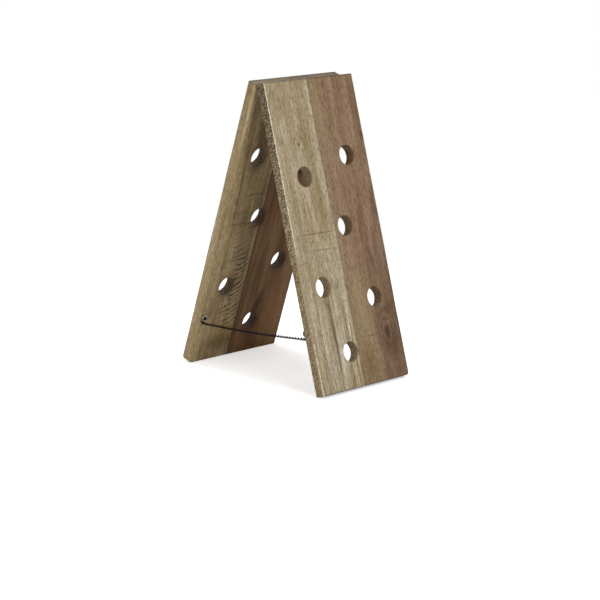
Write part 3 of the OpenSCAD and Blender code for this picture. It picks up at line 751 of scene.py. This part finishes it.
# Where an end link holds the chain: its reach along its tilt, from the middle of its screw.
def pull(leaf):
    down = leaf["anchorDrop"] + chain["endReach"] * math.cos(chain["endTilt"])
    off = chain["endOff"] + chain["endReach"] * math.sin(chain["endTilt"])
    return leafToRack(leaf["side"], chainScrew["x"], down, off) * 1000


# Roll of a link past upright, in degrees: the first few links ease into the lay, and the last
# few add it once more, so that both ends stand square to their end links.
def layRoll(link):
    eased, count = chain["easedLinks"], chain["count"]
    into, past = np.clip(link / eased, 0, 1), np.clip(1 - (count - link) / eased, 0, 1)
    return chain["lay"] * (into + past)


# A link is a tube round an oval path of two half circles and two straight wires. The path is
# rolled about its length by a quarter turn from end to end, which twists the wires. Each link
# sits on a parabola that sags below the straight run, and is turned along its slope.
def chainHalf(name, links):
    start, end = pull(leaves["front"]), pull(leaves["rear"])
    run = end - start
    length = np.linalg.norm(run)
    pitch = (length + 2 * chain["hook"] - chain["wire"] - chain["fit"]) / chain["count"]
    halfLength = (pitch + chain["wire"] + chain["fit"]) / 2
    halfWidth = chain["halfWidth"]
    straight = halfLength - halfWidth
    turn = np.linspace(-np.pi / 2, np.pi / 2, chain["bendPoints"])
    wire = np.linspace(-straight, straight, chain["wirePoints"])[1:-1]
    x = np.concatenate([straight + halfWidth * np.cos(turn), wire[::-1],
                        -straight - halfWidth * np.cos(turn), wire])
    y = np.concatenate([halfWidth * np.sin(turn), halfWidth + 0 * wire,
                        -halfWidth * np.sin(turn), -halfWidth + 0 * wire])
    k = np.array(links)[:, None]
    share = np.clip((x + straight) / (2 * straight), 0, 1)
    roll = np.radians((90 + layRoll(k)) * (1 - share) + (180 + layRoll(k + 1)) * share)
    path = np.stack([x + 0 * roll, y * np.cos(roll), y * np.sin(roll)], axis=-1)
    along = np.roll(path, -1, axis=1) - np.roll(path, 1, axis=1)
    along /= np.linalg.norm(along, axis=-1, keepdims=True)
    flat = np.stack([0 * roll, -np.sin(roll), np.cos(roll)], axis=-1)
    flat -= along * (flat * along).sum(-1, keepdims=True)
    flat /= np.linalg.norm(flat, axis=-1, keepdims=True)
    level = np.cross(along, flat)
    angle = np.linspace(0, 2 * np.pi, chain["around"], endpoint=False)[:, None]
    ringRound = np.cos(angle) * flat[:, :, None] + np.sin(angle) * level[:, :, None]
    tube = path[:, :, None] + chain["wire"] / 2 * ringRound
    t = (halfLength - chain["hook"] + k[:, 0] * pitch) / length
    down = np.array([0, 0, 1]) * 4 * chain["sag"]
    slope = run / length - down * ((1 - 2 * t) / length)[:, None]
    centre = start + t[:, None] * run - down * (t * (1 - t))[:, None]
    forward = slope / np.linalg.norm(slope, axis=1, keepdims=True)
    sideways = np.cross(np.array([0, 0, 1.0]), forward)
    sideways /= np.linalg.norm(sideways, axis=1, keepdims=True)
    axes = np.stack([forward, sideways, np.cross(forward, sideways)], axis=1)
    points = (np.einsum("kija,kab->kijb", tube, axes) + centre[:, None, None]) / 1000
    count, rings, around = points.shape[:3]
    n, i, j = np.meshgrid(np.arange(count), np.arange(rings), np.arange(around), indexing="ij")
    corners = [(n * rings + (i + a) % rings) * around + (j + b) % around
               for a, b in ((0, 0), (0, 1), (1, 1), (1, 0))]
    made = meshObject(name, points, np.stack(corners, axis=-1).reshape(-1, 4).tolist())
    outwards(made)
    made.data.shade_smooth()
    return made


middle = chain["count"] // 2
for name, node, links, body in (
        ("front_chain_twisted", "front_chain", range(middle), "front_chain_half"),
        ("rear_chain_twisted", "rear_chain", range(middle, chain["count"]), "rear_chain_half")):
    half = chainHalf(name, links)
    half.data.materials.append(chainSteel)
    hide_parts(node)
    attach(half, body)
print("chain made")

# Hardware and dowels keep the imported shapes.

dowelWood = turnedDowelWood({"name": "beech dowel", "dark": "#b08f5e", "pale": "#d8bd8c",
                             "rough": 0.6})
# Pressed steel with a thin zinc plating: mid grey, with a broad soft sheen.
plateSteel = steel({"name": "zinc plated hinge steel", "bright": "#b4b2ab",
                    "dull": "#8b8a86", "rough": 0.42, "metallic": 0.55, "pits": 0.4,
                    "pitScale": 1.2})
# The same plating worn dull on the screws' heads.
screwSteel = steel({"name": "dulled screw steel", "bright": "#77726b", "dull": "#55504a",
                    "rough": 0.42, "metallic": 0.7, "pits": 0.4, "pitScale": 1.2})
# Phosphated steel: a brown black skin that hardly shines.
blackScrew = steel({"name": "black phosphated screw", "bright": "#3d3833", "dull": "#211e1b",
                    "rough": 0.45, "metallic": 0.7, "pits": 0.4, "pitScale": 1.2})
# Fresh zinc on the stamped washers: the brightest metal of the rack, still not a mirror.
washerZinc = steel({"name": "bright zinc washer", "bright": "#d9d8d2", "dull": "#b9b8b2",
                    "rough": 0.42, "metallic": 0.6, "pits": 0.15, "pitScale": 1.2})
finishes = {
    "front_dowels": dowelWood, "rear_dowels": dowelWood,
    "left_hinge_front_plate": plateSteel, "left_hinge_rear_plate": plateSteel,
    "left_hinge_pin": plateSteel,
    "right_hinge_front_plate": plateSteel, "right_hinge_rear_plate": plateSteel,
    "right_hinge_pin": plateSteel,
    "front_hinge_screws": screwSteel, "rear_hinge_screws": screwSteel,
    "front_chain_screw": blackScrew, "rear_chain_screw": blackScrew,
    "front_chain_washer": washerZinc, "rear_chain_washer": washerZinc,
    "front_end_link": chainSteel, "rear_end_link": chainSteel,
}
for node, finish in finishes.items():
    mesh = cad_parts[node].data
    mesh.materials.clear()
    mesh.materials.append(finish)
print("hardware finished")

# Studio, in metres: a pale floor that fades to plain white away from the rack, so that it
# keeps the shadow but has no edge, and large soft lights.

studio = {
    "floorHalf": 6, "fadeFrom": 0.5, "fadeTo": 1.3, "floorGlow": 0.5, "skyLight": 0.36,
    "lights": {
        "key_light": {"place": (-0.3, -2.6, 2.2), "aim": (0, 0, 0.25), "size": 1.8, "watts": 40},
        "left_light": {"place": (-2.6, -0.2, 1.4), "aim": (0, 0, 0.25), "size": 1.6, "watts": 14},
        "back_light": {"place": (0.9, 2.7, 1.5), "aim": (0, 0, 0.3), "size": 1.6, "watts": 22},
        "top_light": {"place": (0.2, 0.3, 3.0), "aim": (0, 0, 0), "size": 2.2, "watts": 24},
    },
}
far = studio["floorHalf"]
floorCorners = np.array([[-far, -far, 0], [far, -far, 0], [far, far, 0], [-far, far, 0]], float)
floor = meshObject("studio_floor", floorCorners, [[0, 1, 2, 3]])
# Background paper: plain matte white, with a grain far too fine to see.
floorPaper, tree = newMaterial("white studio paper")
place = add(tree, "TexCoord")
reach = add(tree, "VectorMath", {0: place.outputs["Object"]}, operation="LENGTH")
fade = add(tree, "MapRange", {"Value": reach.outputs["Value"], "From Min": studio["fadeFrom"],
           "From Max": studio["fadeTo"]}, interpolation_type="SMOOTHSTEP")
grit = add(tree, "TexNoise", {"Vector": place.outputs["Object"], "Scale": 300.0, "Detail": 2})
paper = layered(tree, linear("#f6f6f6"), [(grit, linear("#ffffff"))])
matte = add(tree, "BsdfDiffuse", {"Color": paper})
white = add(tree, "Emission", {"Color": (1, 1, 1, 1), "Strength": 1.0})
rays = add(tree, "LightPath")
lift = add(tree, "Math", {0: rays.outputs["Is Camera Ray"], 1: studio["floorGlow"]},
           operation="MULTIPLY")
glow = add(tree, "Emission", {"Color": (1, 1, 1, 1), "Strength": lift})
lit = add(tree, "AddShader", {0: matte, 1: glow})
farSeen = add(tree, "Math", {0: fade, 1: rays.outputs["Is Camera Ray"]}, operation="MULTIPLY")
both = add(tree, "MixShader", {0: farSeen, 1: lit, 2: white})
add(tree, "OutputMaterial", {0: both})
floor.data.materials.append(floorPaper)

# The world is white to the camera and in reflections, and dimmer as a light.
world = bpy.data.worlds.new("white studio")
bpy.context.scene.world = world
world.use_nodes = True
tree = world.node_tree
tree.nodes.clear()
rays = add(tree, "LightPath")
seen = add(tree, "Math", {0: rays.outputs["Is Camera Ray"], 1: rays.outputs["Is Glossy Ray"]},
           operation="MAXIMUM")
seen = add(tree, "Math", {0: seen, 1: rays.outputs["Is Transmission Ray"]}, operation="MAXIMUM")
soft = add(tree, "Background", {"Color": (1, 1, 1, 1), "Strength": studio["skyLight"]})
bright = add(tree, "Background", {"Color": (1, 1, 1, 1), "Strength": 1.0})
both = add(tree, "MixShader", {0: seen, 1: soft, 2: bright})
add(tree, "OutputWorld", {0: both})


# A square lamp that faces its aim.
def areaLight(name, light):
    data = bpy.data.lights.new(name, "AREA")
    data.shape, data.size, data.energy = "SQUARE", light["size"], light["watts"]
    made = bpy.data.objects.new(name, data)
    place, aim = Vector(light["place"]), Vector(light["aim"])
    made.location = place
    made.rotation_mode = "QUATERNION"
    made.rotation_quaternion = (aim - place).to_track_quat("-Z", "Y")
    bpy.context.scene.collection.objects.link(made)


for name, light in studio["lights"].items():
    areaLight(name, light)
print("studio lit")

# Camera as the photo was taken: long lens, a little from above and slightly rolled.

photoCamera = {"lens": 128.15, "sensor": 36.0, "clip": (0.05, 50), "azimuth": -47.04,
               "elevation": 12.82, "roll": 1.3, "place": (-2.7899, -2.6082, 1.0002)}
camData = bpy.data.cameras.new("photo_camera")
camData.lens, camData.sensor_width = photoCamera["lens"], photoCamera["sensor"]
camData.clip_start, camData.clip_end = photoCamera["clip"]
camera = bpy.data.objects.new("photo_camera", camData)
bpy.context.scene.collection.objects.link(camera)
azimuth, elevation, rollAngle = [math.radians(photoCamera[key])
                                 for key in ("azimuth", "elevation", "roll")]
back = Vector((math.sin(azimuth) * math.cos(elevation),
               -math.cos(azimuth) * math.cos(elevation), math.sin(elevation)))
right = (-back).cross(Vector((0, 0, 1))).normalized()
up = right.cross(-back)
tiltedRight = right * math.cos(rollAngle) + up * math.sin(rollAngle)
tiltedUp = -right * math.sin(rollAngle) + up * math.cos(rollAngle)
turnMatrix = Matrix((tiltedRight, tiltedUp, back)).transposed()
camera.rotation_mode = "QUATERNION"
camera.rotation_quaternion = turnMatrix.to_quaternion()
camera.location = photoCamera["place"]
bpy.context.scene.camera = camera
bpy.context.scene.view_settings.view_transform = "Standard"
